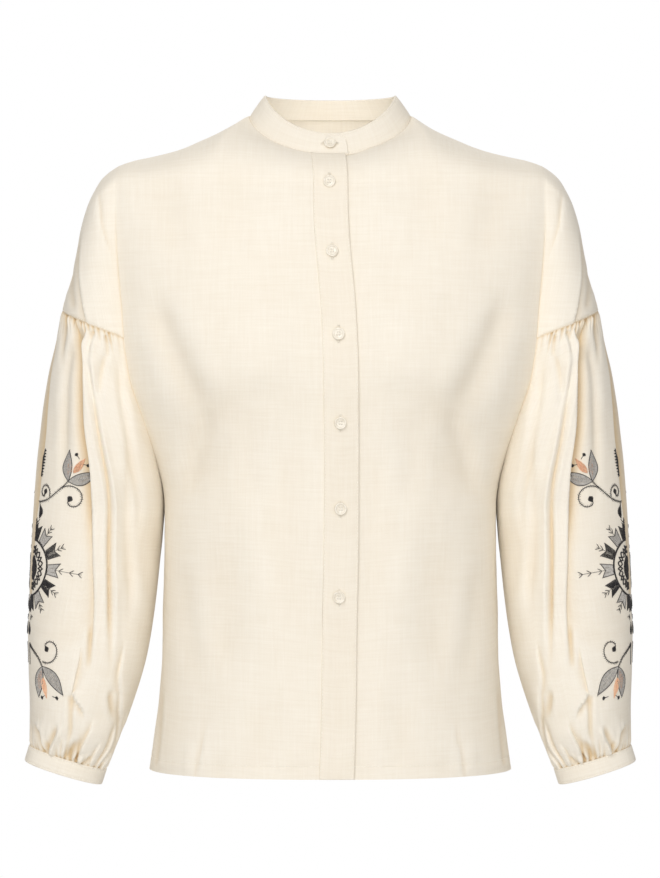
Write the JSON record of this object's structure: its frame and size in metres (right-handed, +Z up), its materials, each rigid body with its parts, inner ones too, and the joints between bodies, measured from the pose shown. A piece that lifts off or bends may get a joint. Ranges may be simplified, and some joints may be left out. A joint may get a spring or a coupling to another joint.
{
  "type": "embroidered linen blouse",
  "caption": "Worn-form linen blouse with a band collar, buttoned front band, dropped shoulders and full embroidered sleeves gathered on narrow cuffs.",
  "frame": {"origin": "middle of the neck, level with the points where the shoulder seams meet the collar", "axes": "+Z up, the front faces -Y, +X is the wearer's left"},
  "size_m": [0.5776, 0.2374, 0.6532],
  "materials": {
    "linen": "natural cream linen, plain weave, matt, with a soft sheen on the folds",
    "shell": "pearly shell, satin gloss",
    "thread_black": "stranded cotton embroidery thread, soft shine",
    "thread_grey": "stranded cotton embroidery thread, soft shine",
    "thread_peach": "stranded cotton embroidery thread, soft shine",
    "sewing_thread": "cream sewing thread"
  },
  "bodies": {
    "root": {"back": "linen", "front_left": "linen", "front_right": "linen", "button_band": "linen", "sleeve_left": "linen", "sleeve_right": "linen", "collar": "linen", "cuff_left": "linen", "cuff_right": "linen", "button_1": "shell", "button_2": "shell", "button_3": "shell", "button_4": "shell", "button_5": "shell", "button_6": "shell", "button_7": "shell", "button_cuff_left": "shell", "button_cuff_right": "shell"}
  },
  "joints": []
}
